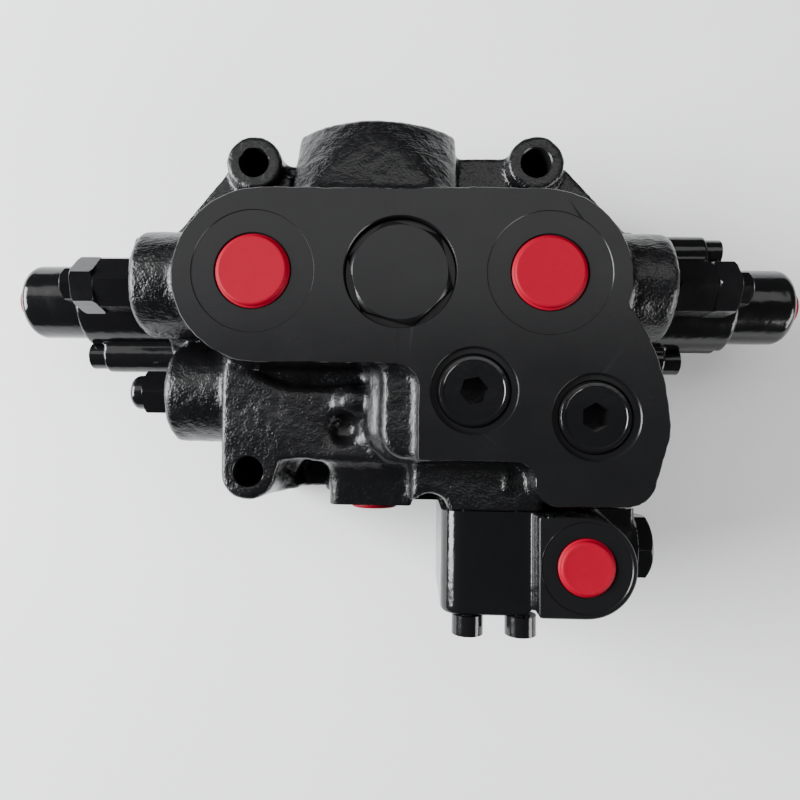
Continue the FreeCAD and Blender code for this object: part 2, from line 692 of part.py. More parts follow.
def makeup_check():
    """The hex-headed check valve at lower left, closed by a small round-ended cap."""
    at = ("-makeup_x", "makeup_y", "side_height")
    blank = turned(
        "makeup_blank",
        [
            (-14, 4.4), (-14, 9.95), (0, 9.95), (0, 8.5), (4, 8.5), (4, 10.4), (4.8, 11.26),
            (13.7, 11.26), (14.5, 10.4),
            (14.5, 4.05), (8, 4.05), (8, 0), (-4, 0), (-4, 4.4),
        ],
    )  # fmt: skip
    keep(place(with_flats("makeup_body", blank, 19.5, 4, 14.5), at, "-X"), "makeup_check_body")
    cap = [(8.5, 0), (8.5, 4), (14.6, 4), (14.6, 8), (18.5, 8), (22, 4.5, 3.5), (22, 0)]
    keep(turned("makeup_check_cap", cap, at, "-X"), "makeup_check_cap")
    seat = ("25 - makeup_x", "makeup_y", "side_height")
    poppet = [(-3.5, 0), (-3.5, 1.4), (3, 7.9), (7.5, 7.9), (7.5, 4.2), (3.5, 4.2), (3.5, 0)]
    keep(turned("makeup_check_poppet", poppet, seat, "-X"), "makeup_check_poppet")
    coil_spring("makeup_check_spring", 3.2, 0.6, 3.5, 21, 5, seat, "-X")


load_check()
socket_check("first_check", "first_plug_x", "first_plug_y")
socket_check("second_check", "second_plug_x", "second_plug_y")
makeup_check()


# ---- side block ----


def side_block():
    """The bolted block: a slab with a big rounded edge, a round-ended port boss and the shuttle bore."""
    x, y, radius = "block_port_x", "block_port_y", "block_port_radius"
    mirror_front = f"{y} + {radius}"
    slab = pad(
        "block_slab",
        [
            ("block_left", 22), (57, 22), (57, "block_height"), ("block_left + 9", "block_height"),
            ("block_left", "block_height - 9", 9),
        ],
        "mate_y - block_back",
        (0, "mate_y", 0),
        "-Y",
    )  # fmt: skip
    port_boss = pad(
        "block_port_boss",
        [
            (55.4, mirror_front), (55.4, f"{y} - {radius}"), (x, f"{y} - {radius}"),
            (f"{x} + {radius}", y, radius), (x, mirror_front, radius),
        ],
        "block_face - 22",
        (0, 0, 22),
    )  # fmt: skip
    plug_boss = rod("block_plug_boss", 17.5, "block_right - 60", (60, "shuttle_y", "side_height"), "+X")
    low = (70, "shuttle_y", "side_height - 17")
    shoulder = block("block_shoulder", low, ("block_right - 1", "mate_y", "side_height + 17"))
    cutters = [
        rod("block_port", "return_bore", 19, (x, y, "block_face + 1"), "-Z"),
        rod("block_port_spot", "plug_recess", 2, (x, y, "block_face - 0.3")),
        rod("block_port_passage", 7, "block_face - side_height - 10", (x, y, "side_height")),
        rod("shuttle_hole", "shuttle_bore", "block_right - 29", (30, "shuttle_y", "side_height"), "+X"),
        rod("block_plug_thread", 11.05, 17, ("block_right - 16", "shuttle_y", "side_height"), "+X"),
        rod("side_plug_hole", 5.05, 13, (40.5, "block_back + 12", "side_height + 12"), "-Y"),
    ]
    for name, run_x in (("left", 36), ("right", 66)):
        cutters.append(rod(f"block_{name}_run", 4, 25, (run_x, "shuttle_y", "side_height"), "+Y"))
        room = rod(f"block_{name}_seal_room", 7, 1.5, (run_x, "mate_y", "side_height"), "-Y")
        core = rod(f"block_{name}_seal_core", 4.6, 1.5, (run_x, "mate_y", "side_height"), "-Y")
        cutters.append(cut(f"block_{name}_seal_groove", room, [core]))
    for index, (screw_x, screw_z) in enumerate(BLOCK_SCREWS):
        start = (screw_x, "mate_y + 1", screw_z)
        cutters.append(rod(f"block_screw_hole_{index}", "screw_clear", 60, start, "-Y"))
    blank = join("block_blank", [slab, port_boss, plug_boss, shoulder])
    keep(cut("side_block", blank, cutters), "side_block")


def side_block_fittings():
    """Screws, interface seals, plugs and the shuttle of the side block."""
    screws = []
    for index, (x, z) in enumerate(BLOCK_SCREWS):
        length = "mate_y - block_back + 16"
        screws.append(cap_screw(f"block_screw_{index}", length, (x, "block_back", z), "-Y"))
    group("side_block_screws", screws)
    seals = [
        ring(f"interface_seal_{name}", 5.8, 0.73, (x, "mate_y - 0.75", "side_height"), "-Y")
        for name, x in (("left", 36), ("right", 66))
    ]
    group("interface_seals", seals)
    blank = turned(
        "block_plug_blank",
        [(-14, 0), (-14, 10), (-13, 11), (0.05, 11), (0.05, 15.5), (6.6, 15.5), (8, 13.6), (8, 0)],
    )
    plug = with_flats("block_plug", blank, 27, 0.05, 8)
    keep(place(plug, ("block_right", "shuttle_y", "side_height"), "+X"), "side_block_plug")
    stations = [(-8, 0), (-8, 4), (-5, "shuttle_radius"), (5, "shuttle_radius"), (8, 4), (8, 0)]
    keep(turned("shuttle", stations, (52, "shuttle_y", "side_height"), "+X"), "shuttle")
    small = turned("drain_plug_blank", [(-10, 0), (-10, 5), (0, 5), (0, 7), (2.5, 7), (3, 6.5), (3, 0)])
    drain = cut("drain_plug_cut", small, [hexagon("drain_plug_socket", 5, 4, (0, 0, -0.5))])
    keep(place(drain, (40.5, "block_back", "side_height + 12"), "-Y"), "drain_plug")


side_block()
side_block_fittings()

# ---- shipping plugs in the ports ----

red_plug("port_plug_a", "port_bore", 1.6, 12, ("-port_x", 0, "face_height - 0.3"), "+Z")
red_plug("port_plug_b", "port_bore", 1.6, 12, ("port_x", 0, "face_height - 0.3"), "+Z")
block_port = ("block_port_x", "block_port_y", "block_face - 0.3")
red_plug("side_block_port_plug", "return_bore", 1.6, 12, block_port, "+Z")
red_plug("return_port_plug", "return_bore", 3, 12, ("return_x", "mate_y + 0.4", "side_height"), "-Y")

# ---- check and write ----

doc.recompute()
for item in doc.Objects:
    if {"Invalid", "Error"} & set(item.State):
        raise RuntimeError(f"{item.Label} failed: {item.State}")
os.makedirs("parts", exist_ok=True)
for node in nodes:
    if node.Shape.isNull() or not node.Shape.isValid():
        raise RuntimeError(f"{node.Label} has no valid shape")
    node.Shape.exportStep(f"parts/{node.Label}.step")
    print(f"{node.Label:26s} solids {len(node.Shape.Solids)}  volume {node.Shape.Volume:10.1f}")
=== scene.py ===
"""The looks of the hydraulic monoblock valve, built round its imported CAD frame.

The rough castings are distance fields, joined with fillets and meshed, then machined with sharp cutters.
The screwed-in pieces are turned and milled. Lengths are millimetres until a mesh is made in metres.
"""

import json
import math

import bmesh
import bpy
import numpy as np
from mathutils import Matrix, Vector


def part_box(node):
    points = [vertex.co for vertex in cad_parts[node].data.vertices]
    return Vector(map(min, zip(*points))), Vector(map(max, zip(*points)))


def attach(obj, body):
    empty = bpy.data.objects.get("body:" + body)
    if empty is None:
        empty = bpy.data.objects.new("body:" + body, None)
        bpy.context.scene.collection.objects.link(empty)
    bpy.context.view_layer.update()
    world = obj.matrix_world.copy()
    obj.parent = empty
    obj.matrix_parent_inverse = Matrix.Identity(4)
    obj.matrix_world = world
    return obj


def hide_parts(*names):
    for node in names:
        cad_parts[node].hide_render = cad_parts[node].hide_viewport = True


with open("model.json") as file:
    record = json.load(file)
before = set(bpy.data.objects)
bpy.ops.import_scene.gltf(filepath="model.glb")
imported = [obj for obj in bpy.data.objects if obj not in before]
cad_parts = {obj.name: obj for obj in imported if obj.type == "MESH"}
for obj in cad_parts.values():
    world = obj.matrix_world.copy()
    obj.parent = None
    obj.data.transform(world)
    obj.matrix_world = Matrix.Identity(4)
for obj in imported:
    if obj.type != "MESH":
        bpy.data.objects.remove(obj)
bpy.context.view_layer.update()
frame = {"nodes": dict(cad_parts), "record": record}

import openvdb
from mathutils import Matrix, Vector

MM = 0.001


# ---- places, in millimetres, some from the frame and the rest given ----


def low(node):
    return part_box(node)[0] / MM


def high(node):
    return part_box(node)[1] / MM


def middle(node):
    return (low(node) + high(node)) / 2


FACE = high("valve_body").z
PORT_X = middle("port_plug_b").x
SPOOL_Z = middle("spool").z
RELIEF_Z = middle("relief_cartridge_right").z
RELIEF_X = high("valve_body").x
COVER_X = low("end_cover_right").x
SIDE_Z = middle("shuttle").z
INLET_Y = high("valve_body").y
JOINT_Y = high("side_block").y
BODY_JOINT_Y = JOINT_Y + 0.4  # leaves a thin dark line between body and block
BLOCK_BACK = -138.0
BLOCK_REAR = BLOCK_BACK + 0.2  # the block's rough back, just inside the CAD box
BLOCK_END = 104
BLOCK_TOP = 88
BLOCK_FACE = high("side_block").z
BLOCK_LEFT = low("side_block").x
BLOCK_PORT = middle("side_block_port_plug")
SHUTTLE_Y = middle("shuttle").y
FIRST = middle("first_check_plug")
SECOND = middle("second_check_plug")
MAKEUP_X = -105  # face of the make-up check's boss
MAKEUP_Y = middle("makeup_check_body").y
RETURN_X = middle("return_port_plug").x
INLET = Vector((-11.5, INLET_Y, 52.0))
LUG_Z = 83.0
LUG_R = 12.2
LUGS = {"left": (-65.1, 53.4), "right": (57.4, 53.4), "lower": (-64.2, -80.8)}
SCREW_Y = 27  # cover screws, to either side of the spool's axis
LONG_EAR, SHORT_EAR = 34.7, 14
EARS = ((1, LONG_EAR), (-1, SHORT_EAR))
PILOT_END = 72.3
BLOCK_SCREWS = [(x, z) for x in (29.2, 51.1) for z in (31, 82)]
OIL_WAYS = (36, 66)  # from the body into the block, along Y
DRAIN_X, DRAIN_Z = 40.5, SIDE_Z + 12

# Radii of standard holes
LARGE_SPOT, LARGE_PORT, LARGE_WAY = 24.5, 15, 9.4
SMALL_PORT, SMALL_WAY = 11.35, 7
CHECK_SPOT, PLUG_SPOT = 22.3, 17
M8_TAPPED, M8_CLEAR = 4.03, 4.5
LUG_HOLE = 6.5
SPOOL_BORE = 13.03
PROUD = 8  # how far a cutter stands out of the surface that it cuts


# ---- distance fields ----


def smooth_join(a, b, fillet):
    blend = np.maximum(fillet - np.abs(a - b), 0) / fillet
    return np.minimum(a, b) - blend * blend * fillet / 4


def trace(points):
    """An outline's points. Each (x, y, radius) is reached along a short arc, left-centred if radius > 0."""
    path = []
    for index, point in enumerate(points):
        start, end = Vector(points[index - 1][:2]), Vector(point[:2])
        if len(point) == 2:
            path.append(end)
            continue
        chord = end - start
        side = math.copysign(1, point[2])
        left = Vector((-chord.y, chord.x)).normalized()
        rise = math.sqrt(max(point[2] ** 2 - chord.length_squared / 4, 0))
        centre = (start + end) / 2 + left * side * rise
        first = math.atan2(start.y - centre.y, start.x - centre.x)
        turn = 2 * math.asin(min(chord.length / 2 / abs(point[2]), 1)) * side
        steps = max(3, int(abs(turn) / 0.1))
        for step in range(1, steps + 1):
            angle = first + turn * step / steps
            path.append(centre + abs(point[2]) * Vector((math.cos(angle), math.sin(angle))))
    return np.array([tuple(point) for point in path], np.float32)


def outline_distance(u, v, path):
    """Signed distance from each point (u, v) to a closed outline, negative inside."""
    u, v = np.broadcast_arrays(u, v)
    best = np.full(u.shape, 1e9, np.float32)
    inside = np.zeros(u.shape, bool)
    for (ax, ay), (bx, by) in zip(np.roll(path, 1, axis=0), path, strict=True):
        ex, ey = bx - ax, by - ay
        t = np.clip(((u - ax) * ex + (v - ay) * ey) / max(ex * ex + ey * ey, 1e-9), 0, 1)
        best = np.minimum(best, (u - ax - t * ex) ** 2 + (v - ay - t * ey) ** 2)
        if ay != by:
            crosses = (ay > v) != (by > v)
            inside ^= crosses & (u < ax + (v - ay) * ex / ey)
    best = np.sqrt(best)
    return np.where(inside, -best, best)


def capped(side, along, start, end, edge):
    """Extrudes a sideways distance between two stations, with rounded end edges."""
    ends = np.abs(along - (start + end) / 2) - (end - start) / 2 + edge
    side = side + edge
    return np.minimum(np.maximum(side, ends), 0) + np.hypot(np.maximum(side, 0), np.maximum(ends, 0)) - edge


AXES = {"x": (1, 2, 0), "y": (0, 2, 1), "z": (0, 1, 2)}


def rod(axis, centre, radius, start, end, edge):
    """A round bar along an axis; centre gives the other two coordinates."""
    first, second, along = AXES[axis]

    def distance(grid):
        side = np.hypot(grid[first] - centre[0], grid[second] - centre[1]) - radius
        return capped(side, grid[along], start, end, edge)

    across = [(place - radius, place + radius) for place in centre]
    spans = [*across, (start, end)]
    return distance, [spans[(first, second, along).index(letter)] for letter in range(3)]


def prism(axis, points, start, end, edge):
    """An outline in the plane across an axis, extruded along it."""
    first, second, along = AXES[axis]
    path = trace(points)

    def distance(grid):
        side = outline_distance(grid[first], grid[second], path)
        return capped(side, grid[along], start, end, edge)

    lows, highs = path.min(0), path.max(0)
    spans = [(lows[0], highs[0]), (lows[1], highs[1]), (start, end)]
    return distance, [spans[(first, second, along).index(letter)] for letter in range(3)]


def bar(lows, highs, edge):
    """A box between two corners."""
    corners = [(lows[0], lows[1]), (highs[0], lows[1]), (highs[0], highs[1]), (lows[0], highs[1])]
    return prism("z", corners, lows[2], highs[2], edge)


def tapered(lump, centre, radius, slope, fillet):
    """A lump kept inside a cone about a line along Y, whose radius falls with Y."""
    distance, spans = lump

    def narrowed(grid):
        cone = np.hypot(grid[0] - centre[0], grid[2] - centre[1]) - radius + slope * grid[1]
        return -smooth_join(-distance(grid), -cone / math.hypot(1, slope), fillet)

    return narrowed, spans


class Casting:
    """A distance field on a grid, that lumps are joined to and soft hollows are taken from."""

    FAR = 50
    MARGIN = 5  # how far past a lump, beyond its fillet, the field is worked out

    def __init__(self, lows, highs, step):
        self.lows, self.step = np.array(lows, np.float32), step
        self.shape = tuple(int((b - a) / step) + 1 for a, b in zip(lows, highs, strict=True))
        self.field = np.full(self.shape, self.FAR, np.float32)

    def part(self, spans, margin):
        """The slices of the grid near a lump, and its coordinates there."""
        slices, grid = [], []
        for letter, (start, end) in enumerate(spans):
            first = max(int((start - margin - self.lows[letter]) / self.step), 0)
            last = min(int((end + margin - self.lows[letter]) / self.step) + 2, self.shape[letter])
            slices.append(slice(first, last))
            line = self.lows[letter] + self.step * np.arange(first, last, dtype=np.float32)
            grid.append(line.reshape([-1 if letter == other else 1 for other in range(3)]))
        return tuple(slices), grid

    def add(self, lump, fillet):
        distance, spans = lump
        slices, grid = self.part(spans, fillet + self.MARGIN)
        self.field[slices] = smooth_join(self.field[slices], distance(grid), fillet)

    def take(self, lump, fillet):
        distance, spans = lump
        slices, grid = self.part(spans, fillet + self.MARGIN)
        self.field[slices] = -smooth_join(-self.field[slices], distance(grid), fillet)

    def soften(self, passes):
        """Rounds every edge a little, as paint and sand do."""
        for _ in range(passes):
            for axis in range(3):
                f = np.moveaxis(self.field, axis, 0)
                f[1:-1] = 0.25 * f[:-2] + 0.5 * f[1:-1] + 0.25 * f[2:]

    def mesh(self, name):
        band = 3 * self.step
        grid = openvdb.FloatGrid(band)
        grid.copyFromArray(np.clip(self.field, -band, band), tolerance=1e-6)
        points, quads = grid.convertToQuads(0.0)
        points = (points * self.step + self.lows) * MM
        data = bpy.data.meshes.new(name)
        data.vertices.add(len(points))
        data.vertices.foreach_set("co", points.astype(np.float32).ravel())
        data.loops.add(4 * len(quads))
        data.loops.foreach_set("vertex_index", quads.astype(np.int32)[:, ::-1].ravel())
        data.polygons.add(len(quads))
        data.polygons.foreach_set("loop_start", np.arange(0, 4 * len(quads), 4, dtype=np.int32))
        data.update(calc_edges=True)
        data.validate()
        return link(name, data)


def link(name, data):
    item = bpy.data.objects.new(name, data)
    bpy.context.scene.collection.objects.link(item)
    return item


# ---- roughness of sand castings ----


def lattice_noise(points, size, seed):
    """Smooth random values from -1 to 1, on a lattice of the given size in millimetres."""
    values = np.random.default_rng(seed).uniform(-1, 1, (64, 64, 64)).astype(np.float32)
    place = points / size
    cell = np.floor(place).astype(np.int64)
    part = (place - cell).astype(np.float32)
    part = part * part * (3 - 2 * part)
    total = np.zeros(len(points), np.float32)
    for corner in range(8):
        shift = np.array([corner & 1, corner >> 1 & 1, corner >> 2 & 1])
        weight = np.prod(np.where(shift, part, 1 - part), axis=1)
        total += weight * values[tuple(((cell + shift) % 64).T)]
    return total


def roughen(item, octaves, seed):
    """Moves each point along its normal by summed noise: octaves are (size, height) in millimetres."""
    count = len(item.data.vertices)
    places, normals = np.empty(count * 3, np.float32), np.empty(count * 3, np.float32)
    item.data.vertices.foreach_get("co", places)
    item.data.vertex_normals.foreach_get("vector", normals)
    places, normals = places.reshape(-1, 3), normals.reshape(-1, 3)
    points = places / MM
    shift = sum(
        height * lattice_noise(points, size, seed + index) for index, (size, height) in enumerate(octaves)
    )
    item.data.vertices.foreach_set("co", (places + normals * shift[:, None] * MM).ravel())
    item.data.update()


# ---- sharp work: turning, milling and boring ----


def lathe(name, profile, steps=96):
    """Turns a half section about Z: points (station, radius), and a third number for an arc's radius."""
    path = trace([(radius, station, *arc) for station, radius, *arc in profile])
    angles = np.linspace(0, 2 * math.pi, steps, endpoint=False)
    mesh = bmesh.new()
    rings = []
    for radius, station in path:
        if radius < 1e-4:
            rings.append([mesh.verts.new((0, 0, station * MM))])
        else:
            places = [(radius * math.cos(a), radius * math.sin(a), station) for a in angles]
            rings.append([mesh.verts.new(tuple(value * MM for value in place)) for place in places])
    for index, ring in enumerate(rings):
        after = rings[(index + 1) % len(rings)]
        if len(ring) == 1 and len(after) == 1:
            continue
        for step in range(steps):
            follow = (step + 1) % steps
            here = [ring[step % len(ring)], ring[follow % len(ring)]]
            there = [after[follow % len(after)], after[step % len(after)]]
            mesh.faces.new(list(dict.fromkeys(here + there)))
    bmesh.ops.recalc_face_normals(mesh, faces=mesh.faces)
    data = bpy.data.meshes.new(name)
    mesh.to_mesh(data)
    mesh.free()
    return link(name, data)


def tool(profile, at=(0, 0, 0), turn="+Z", steps=96):
    """A turned cutter, put in place."""
    return moved(lathe("cutter", profile, steps), at, turn)


def bore(radius, depth, at, turn="+Z", chamfer=0.3):
    """A flat bottomed drill with a small chamfer at the surface."""
    mouth = radius + chamfer
    profile = [(-depth, 0), (-depth, radius), (-chamfer, radius), (0, mouth), (PROUD, mouth), (PROUD, 0)]
    return tool(profile, at, turn)


def threaded(radius, pitch, depth, at, turn):
    """A bore with ring-shaped thread grooves down its wall and a wide chamfer at its mouth."""
    crest, mouth, plain = radius - 0.6, radius + 1.4, 2
    profile = [(-depth, 0), (-depth, crest)]
    station = -depth
    while station + pitch < -plain:
        groove = [(station + 0.25 * pitch, radius), (station + 0.75 * pitch, radius)]
        profile += [*groove, (station + pitch, crest)]
        station += pitch
    profile += [(-plain, radius), (-1, radius + 0.4), (0, mouth), (PROUD, mouth), (PROUD, 0)]
    return tool(profile, at, turn, 128)


def hexagonal(across, start, end, twist=0.0):
    """A six-sided bar about Z."""
    mesh = bmesh.new()
    levels = []
    corner = across / math.sqrt(3)
    angles = [twist + math.radians(60 * side) for side in range(6)]
    for station in (start, end):
        places = [(corner * math.cos(a), corner * math.sin(a), station) for a in angles]
        levels.append([mesh.verts.new(tuple(value * MM for value in place)) for place in places])
    mesh.faces.new(levels[0][::-1])
    mesh.faces.new(levels[1])
    for side in range(6):
        follow = (side + 1) % 6
        mesh.faces.new([levels[0][side], levels[0][follow], levels[1][follow], levels[1][side]])
    data = bpy.data.meshes.new("hexagonal")
    mesh.to_mesh(data)
    mesh.free()
    return link("hexagonal", data)


TURNS = {
    "+Z": Matrix.Identity(4),
    "-Z": Matrix.Rotation(math.pi, 4, "X"),
    "+X": Matrix.Rotation(math.pi / 2, 4, "Y"),
    "-X": Matrix.Rotation(math.pi, 4, "Z") @ Matrix.Rotation(math.pi / 2, 4, "Y"),
    "+Y": Matrix.Rotation(-math.pi / 2, 4, "X"),
    "-Y": Matrix.Rotation(math.pi / 2, 4, "X"),
}


def moved(item, at=(0, 0, 0), turn="+Z"):
    """Bakes a turn and a place in millimetres into the mesh."""
    item.data.transform(Matrix.Translation(Vector(at) * MM) @ TURNS[turn])
    return item


def applied(item):
    """Makes what the modifiers show the item's own mesh."""
    bpy.context.view_layer.update()
    result = bpy.data.meshes.new_from_object(item.evaluated_get(bpy.context.evaluated_depsgraph_get()))
    item.modifiers.clear()
    item.data = result
    return item


def paint(item, *names):
    """Gives the item these surfaces, in the order of its faces' numbers."""
    item.data.materials.clear()
    for name in names:
        item.data.materials.append(MATERIALS[name])
    return item


def closed(item):
    """True if every edge joins two faces, without which a boolean is left out."""
    sides = np.empty(len(item.data.loops), np.int32)
    item.data.loops.foreach_get("edge_index", sides)
    return bool((np.bincount(sides, minlength=len(item.data.edges)) == 2).all())


def combine(item, others, operation="DIFFERENCE"):
    """One exact boolean with every other mesh, which is used up."""
    for part in (item, *others):
        if not closed(part):
            raise ValueError(f"the mesh of {part.name} isn't closed")
    for other in others:
        step = item.modifiers.new("machining", "BOOLEAN")
        step.operation, step.object, step.solver = operation, other, "MANIFOLD"
        step.material_mode = "TRANSFER"
    applied(item)
    for other in others:
        bpy.data.objects.remove(other)
    return item


def machined(item, cutters, coating="machined_paint"):
    """Takes every cutter away at once; what they cut gets the given surface."""
    waste = combine(cutters[0], cutters[1:], "UNION")
    combine(item, [paint(waste, coating)])
    return shaded(item, 40)


def bevelled(item, width):
    """A narrow rounded edge on every sharp corner, which catches the light."""
    step = item.modifiers.new("edges", "BEVEL")
    step.width, step.segments, step.limit_method = width * MM, 2, "ANGLE"
    step.angle_limit = math.radians(35)
    step.use_clamp_overlap = True
    return applied(item)


def weighted(item):
    """Big faces keep their own normals, so that flats stay flat between their rounded edges."""
    step = item.modifiers.new("normals", "WEIGHTED_NORMAL")
    step.keep_sharp = True
    return applied(item)


def shaded(item, angle):
    """Smooth shading between faces that meet at less than the angle; big faces across an axis stay flat."""
    count = len(item.data.polygons)
    normals, areas = np.empty(count * 3, np.float32), np.empty(count, np.float32)
    item.data.polygons.foreach_get("normal", normals)
    item.data.polygons.foreach_get("area", areas)
    square, big = np.abs(normals.reshape(-1, 3)).max(1) > 0.9999, areas > 2 * MM * MM
    flat = square & big
    item.data.polygons.foreach_set("use_smooth", ~flat)
    item.data.set_sharp_from_angle(angle=math.radians(angle))
    return item


def face_off(item, place, normal, chamfer=0.28, merge=0.22):
    """Machines everything beyond a plane away and leaves a narrow worn chamfer round the new face.

    Points of the rim that lie closer together than merge become one. The face gets the item's second
    surface and its chamfer the third.
    """
    mesh = bmesh.new()
    mesh.from_mesh(item.data)
    normal = Vector(normal)
    geometry = mesh.verts[:] + mesh.edges[:] + mesh.faces[:]
    bmesh.ops.bisect_plane(
        mesh, geom=geometry, dist=1e-7, plane_co=Vector(place) * MM, plane_no=normal, clear_outer=True
    )
    rim = [edge for edge in mesh.edges if edge.is_boundary]
    rim_points = list(dict.fromkeys(vert for edge in rim for vert in edge.verts))
    bmesh.ops.remove_doubles(mesh, verts=rim_points, dist=merge * MM)
    rim = [edge for edge in mesh.edges if edge.is_boundary]
    caps = bmesh.ops.holes_fill(mesh, edges=rim, sides=0)["faces"]
    outer = {vert for cap in caps for vert in cap.verts}
    for cap in caps:
        cap.material_index = 1
        cap.smooth = False
    inset = bmesh.ops.inset_individual(mesh, faces=caps, thickness=chamfer * MM, use_even_offset=False)
    for face in inset["faces"]:
        face.material_index = 2
    for vert in outer:
        vert.co -= normal * chamfer * MM
    bmesh.ops.triangulate(mesh, faces=[face for face in mesh.faces if len(face.verts) > 4])
    mesh.to_mesh(item.data)
    mesh.free()
    item.data.update()


# ---- the valve body ----

# Outline of the machined port face, with the lobe for the two socket plugs
PLATFORM = [
    (-56.2, 33.75), (-91.2, -1.25, 35), (-56.2, -36.25, 35), (-2, -36.25), (8, -46.25, -10), (8, -74.1),
    (45.2, -74.1), (53.4, -82.3, -8.2), (62.1, -91, 8.75), (88.6, -91), (98.9, -83, 12), (104.3, -65),
    (104.8, -58, 30), (89.27, -12.7, 80), (56.2, 33.75, 35),
]  # fmt: skip
# Outline of the rough plateau, whose corner goes round the lower lug
PLATEAU = [
    (-9, -30), (-76.4, -30), (-76.4, -80.8), (-64.2, -93, 12.2), (-52, -80.8, 12.2), (-50, -76), (-9, -76),
]  # fmt: skip


def valve_casting():
    """The body as it comes out of the sand, before machining."""
    sand = Casting((-118, -101, -8), (118, 75, FACE + 8), 0.8)
    below, above = -5, FACE + 6

    # webs under the upper lugs, belly and plateau
    sand.add(bar((-65, 20, below), (-40, 57, 71.8), 2), 3)
    sand.add(bar((10, 20, below), (57, 58, 77.6), 1.5), 4)
    sand.add(bar((-58, -90, below), (100, 0, 59.8), 3), 5)
    sand.add(prism("z", PLATEAU, below, LUG_Z - 0.2, 2.2), 5)

    # inlet boss: flat sides and a sloping land, inside a cone about the port
    boss_end, half_width, land_low, land_high = INLET_Y - 0.9, 34.6, 93, 97.3
    land = [(1, below), (boss_end, below), (boss_end, land_low), (34, land_high), (1, land_high)]
    limits = prism("x", land, INLET.x - half_width, INLET.x + half_width, 1.4)
    sand.add(tapered(limits, (INLET.x, INLET.z - 7), 71.4, 0.375, 1.2), 2.5)

    # gussets from the relief bosses to the upper lugs
    gusset_top = 75.7
    left_gusset = [(-50, -5), (-50, 50), (-77, 55), (-102.3, 23), (-102.3, -5)]
    right_gusset = [(45, -5), (99.8, -5), (99.8, 23), (72, 54), (45, 50)]
    sand.add(prism("z", left_gusset, below, gusset_top, 1.5), 3)
    sand.add(prism("z", right_gusset, below, gusset_top, 1.5), 3)

    # the plateau's hollow comes before the platform, so that it doesn't reach the machined face
    hollow = [(-84, -18), (-9, -18), (-9, -44), (-47, -44), (-54, -42), (-82, -30)]
    sand.take(prism("z", hollow, 77, above, 2), 5)
    sand.add(prism("z", PLATFORM, below, above, 1), 5)
    lower_tongue = [(8.8, -30), (-13, -30), (-14, -60), (-4, -73.6, 14), (8.8, -73.6)]
    upper_tongue = [(8.8, -30), (-7, -30), (-7, -63), (1, -73.6, 10), (8.8, -73.6)]
    sand.add(prism("z", lower_tongue, below, FACE - 12, 5), 6)
    sand.add(prism("z", upper_tongue, below, FACE - 4.4, 3), 6)

    # return boss and the two pads that the side block sits against
    joint = BODY_JOINT_Y - 3
    fall = [(joint, 30), (-60, 30), (-60, 81), (-73, 81), (-84, 77), (joint, 75)]
    sand.add(prism("x", fall, -30.8, 16.8, 5), 5)
    sand.add(bar((5, joint, 10), (60, -60, 87.7), 3.5), 4)
    sand.add(bar((17, joint, 10), (100, -60, 71.7), 3), 4)

    # make-up check boss, core boss, small raised mark and lugs
    sand.add(rod("x", (MAKEUP_Y, SIDE_Z), 22.8, MAKEUP_X, -40, 3.5), 4)
    sand.add(rod("z", (-20.5, -50.7), 6, 74, LUG_Z + 5.4, 4.5), 5)
    sand.add(bar((43, -87.5, 80), (45.8, -80.5, 88.9), 1.3), 1.5)
    for name in ("left", "right"):
        sand.add(rod("z", LUGS[name], LUG_R, below, LUG_Z, 1.8), 3)

    # relief boss, spool boss and cover screw bosses at each end
    for side in (-1, 1):
        inner, outer = sorted((side * 50, side * RELIEF_X))
        sand.add(rod("x", (0, RELIEF_Z), 23.2, inner, outer, 3.5), 4)
        inner, outer = sorted((side * 50, side * COVER_X))
        sand.add(rod("x", (0, SPOOL_Z), 26, inner, outer, 1.2), 5)
        inner, outer = sorted((side * 70, side * COVER_X))
        for way in (-1, 1):
            sand.add(rod("x", (SCREW_Y * way, SPOOL_Z), 10, inner, outer, 1.2), 4)

    # cast pit, and two notches in the lower edge
    sand.take(rod("z", (-23.6, -62.3), 4.6, LUG_Z - 5, above, 3), 6)
    sand.take(rod("z", (13, -96.5), 8, 50, above, 3), 3)
    sand.take(rod("z", (-41, -83.5), 7.6, 42, above, 2), 3)
    sand.soften(1)
    item = sand.mesh("valve_body_casting")
    roughen(item, [(16, 0.3), (6, 0.2), (2.6, 0.13), (1.3, 0.09)], 11)
    return item


